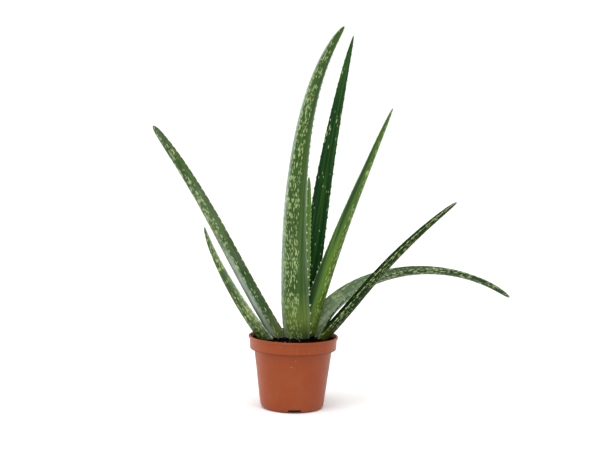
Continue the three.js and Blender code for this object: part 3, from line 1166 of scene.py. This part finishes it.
def rosette() -> list[Leaf]:
    """The plant's eight leaves, from the youngest in the middle to the oldest outside."""
    return [
        Leaf(
            name="leaf_young_centre",
            curve=((10, 5, 84), (16, 7, 164), (16, 8, 234), (16, 8, 310)),
            faces=-90, turn=0, width=12, thick=5, channel=2, taper=0.54, ease=1.6, neck=0.6,
            skin=AloeSkin(
                "young_aloe_skin", outer="#4f7a22", inner="#4a7122", base="#8a9c46", stripe="#6f9838",
                margin="#bdc998", outer_flecks=0.12, inner_flecks=0.1, bloom=0.05, seed=1.7,
            ),
            slot="young_leaf_skin",
            teeth=Teeth(height=1.6 * MM, gap=8 * MM),
        ),
        Leaf(
            name="leaf_back_tall",
            curve=((10, 16, 73), (30, 34, 242), (34, 35, 321), (72, 60, 499)),
            faces=84, turn=-8, width=29, thick=9, channel=4.5, taper=0.84, ease=2, neck=0.7,
            skin=AloeSkin(
                # the inner colour is the skin's own darker green, darkened further as painted shade in its channel
                "aloe_skin_back_tall", outer="#2a4718", inner="#0c3310", base="#2c4a18", stripe="#2d5419",
                margin="#5c6428", tooth="#7f8c4c", outer_flecks=0.3, inner_flecks=0.045, bloom=0.0, gloss=0.14,
                seed=2.9,
            ),
            teeth=Teeth(height=1.9 * MM, gap=17 * MM),
        ),
        Leaf(
            name="leaf_front_tall",
            curve=((7, -5, 70), (-7, -28, 200), (-15, -25, 414), (57, -40, 508)),
            faces=-100, turn=4, width=41, thick=13, channel=5, taper=0.77, ease=1.22, neck=0.62,
            skin=AloeSkin(
                "aloe_skin_front_tall", outer="#2b480f", inner="#2c4d20", base="#788d2a", stripe="#3e5d1a",
                fleck="#9aae73", outer_flecks=0.54, inner_flecks=0.15, fleck_span=(-1.0, 0.42), bloom=0.03,
                # painted sheen: grey-blue strips down the left third and along the right margin
                painted_sheen_spans=((-1.3, -0.66), (0.94, 1.3)), painted_sheen=0.42, scar=(1.4, 350), seed=3.3,
            ),
            teeth=Teeth(left=0.3),
        ),
        Leaf(
            name="leaf_right_upright",
            curve=((12, 9, 70), (35, 11, 173), (74, -1, 276), (124, -10, 404)),
            faces=-60, turn=10, width=31, thick=9, channel=4, taper=0.81, ease=1.35, neck=0.6,
            skin=AloeSkin(
                "aloe_skin_right_upright", outer="#3e5f0f", inner="#1b3d12", base="#7b9424", stripe="#567918",
                # painted shade: a dark strip along the left margin of the outer face
                fleck="#a5b86a", outer_flecks=0.5, inner_flecks=0.1, fleck_span=(-0.2, 1.3), painted_shade_span=(-1.0, -0.6),
                bloom=0.03, seed=4.1,
            ),
            teeth=Teeth(height=2.6 * MM, gap=15 * MM),
        ),
        Leaf(
            name="leaf_left_long",
            curve=((-3, 5, 66), (-88, -3, 196), (-102, -33, 260), (-186, -60, 376)),
            faces=208, turn=0, width=26, thick=12, channel=7, taper=0.45, ease=2.15, neck=0.8,
            skin=AloeSkin(
                "aloe_skin_left_long", outer="#24430f", margin="#54463c", outer_flecks=0.55,
                # painted highlight: a near-white strip of painted sheen low on the lower flank
                fleck_span=(-1.2, 0.8), painted_sheen_spans=((-0.7, 0.58),), painted_sheen=0.7, painted_sheen_reach=0.42, wax_and_sheen="#d6e3df",
                seed=5.9,
            ),
            teeth=Teeth(height=1.7 * MM),
        ),
        Leaf(
            name="leaf_right_arched",
            curve=((20, 15, 65), (33, 39, 178), (199, 52, 219), (296, 60, 146)),
            faces=50, turn=-40, width=38, thick=12, channel=7, taper=0.55, ease=0.85, neck=0.66,
            skin=AloeSkin(
                "aloe_skin_right_arched", outer="#19350a", inner="#2a481b", stripe="#2d4b19",
                # painted sheen: grey over the lower third of both faces
                outer_flecks=0.4, inner_flecks=0.3, painted_sheen_spans=((-1.3, 1.3),), painted_sheen=0.5, painted_sheen_inside=1.0,
                painted_sheen_reach=0.36, wax_and_sheen="#8a9f80", gloss=0.18, seed=6.4,
            ),
            teeth=Teeth(height=1.8 * MM),
        ),
        Leaf(
            name="leaf_left_short",
            curve=((-8, 2, 65), (-50, -7, 96), (-113, -13, 204), (-120, -20, 243)),
            faces=188, turn=0, width=30, thick=13, channel=8, taper=0.74, ease=1.65, neck=0.7,
            skin=AloeSkin(
                "aloe_skin_left_short", outer="#2a460e", stripe="#3d5b12", fleck="#a4b064", outer_flecks=0.5,
                # painted sheen: a pale strip along the right margin
                painted_sheen_spans=((0.85, 1.3),), painted_sheen=0.25, seed=7.2,
            ),
            teeth=Teeth(height=1.8 * MM),
        ),
        Leaf(
            name="leaf_right_curved",
            curve=((18, 2, 69), (96, 14, 147), (104, -6, 189), (212, -12, 282)),
            faces=5, turn=0, width=25, thick=7, channel=8, taper=0.64, ease=1.9, neck=0.7,
            skin=AloeSkin(
                "aloe_skin_right_curved", outer="#122b05", inner="#0b2406", stripe="#1c390b", fleck="#93a45f",
                outer_flecks=0.25, inner_flecks=0.1, bloom=0.0, gloss=0.08, seed=8.8,
            ),
            teeth=Teeth(height=1.8 * MM),
        ),
    ]


# ---- Studio ----


@dataclass
class Studio:
    """A white floor, soft light all round and a camera in front of the plant. Lengths are in metres.

    Attributes:
        camera_place: Where the camera stands.
        camera_pitch: How far it looks down, in degrees.
        camera_roll: How far it is turned clockwise about its line of sight, in degrees.
        lens: Its focal length in millimetres.
    """

    camera_place: Point = (0.0055, -2.0, 0.451)
    camera_pitch: float = 5.85
    camera_roll: float = 1.3
    lens: float = 90.8

    SENSOR = 36  # millimetres wide
    PLANT_MIDDLE = (0, 0, 0.22)
    FLOOR_RADIUS = 14
    SUN_SPREAD = 60  # degrees
    WALL_SPAN = (0.08, 0.4)  # heights, looking outwards, between which the walls turn into the ceiling
    WALLS, CEILING = 1.02, 0.42  # brightness of the white walls at floor level, and overhead

    def build(self) -> None:
        """Builds the floor, the lights and the camera."""
        shape = bmesh.new()
        bmesh.ops.create_circle(shape, cap_ends=True, segments=64, radius=self.FLOOR_RADIUS)
        mesh = new_mesh("studio_floor", shape)
        mesh.materials.append(StudioPaper().material())
        new_object("studio_floor", mesh)

        world = bpy.data.worlds.new("studio_light")
        world.use_nodes = True
        tree = world.node_tree
        direction = add_node(tree, "TexCoord").outputs["Generated"]
        height = add_node(tree, "SeparateXYZ", [direction]).outputs["Z"]
        glow = add_node(tree, "MapRange", (height, *self.WALL_SPAN, self.WALLS, self.CEILING)).outputs[0]
        background = tree.nodes["Background"]
        background.inputs["Color"].default_value = (1, 1, 1, 1)
        tree.links.new(glow, background.inputs["Strength"])
        bpy.context.scene.world = world

        self._lamp("overhead_light", "SUN", (-0.1, -0.7, 2.0), 2.6)
        self._lamp("key_softbox", "AREA", (-1.5, -1.5, 1.3), 8, size=1.6)
        self._lamp("left_rim_softbox", "AREA", (-1.6, 1.0, 0.45), 17, size=1.0)
        self._lamp("right_rim_softbox", "AREA", (1.7, 1.1, 0.7), 8, size=0.8)

        camera = bpy.data.cameras.new("camera")
        camera.lens = self.lens
        camera.sensor_width = self.SENSOR
        camera.clip_start, camera.clip_end = 0.05, 60
        holder = new_object("camera", camera)
        holder.location = self.camera_place
        tilt = Matrix.Rotation(math.radians(90 - self.camera_pitch), 4, "X")
        roll = Matrix.Rotation(math.radians(self.camera_roll), 4, "Z")
        holder.rotation_euler = (tilt @ roll).to_euler()
        bpy.context.scene.camera = holder
        bpy.context.scene.view_settings.view_transform = "Standard"

    def _lamp(self, name: str, kind: str, place: Point, power: float, size: float = 1.0) -> None:
        """Adds a lamp aimed at the plant's middle.

        Args:
            name: Its name.
            kind: "AREA" for a square softbox, "SUN" for even light from a wide overhead panel.
            place: Where it stands, or the side that the even light comes from.
            power: Its power in watts, or in watts per square metre for the even light.
            size: The softbox's side.
        """
        lamp = bpy.data.lights.new(name, kind)
        lamp.energy = power
        if kind == "AREA":
            lamp.size = size
        else:
            lamp.angle = math.radians(self.SUN_SPREAD)
        holder = new_object(name, lamp)
        holder.location = place
        aim = Vector(self.PLANT_MIDDLE) - Vector(place)
        holder.rotation_euler = aim.to_track_quat("-Z", "Y").to_euler()


def main() -> None:
    """Builds the plant, its pot and the studio."""
    logging.basicConfig(level=logging.INFO, format="%(name)s: %(message)s")
    GrowerPot().build()
    PottingMix().build()
    for leaf in rosette():
        leaf.build()
    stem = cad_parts["stem"]
    stem.data.materials.clear()
    stem.data.materials.append(CorkyStem().material())
    Studio().build()


if __name__ == "__main__":
    main()
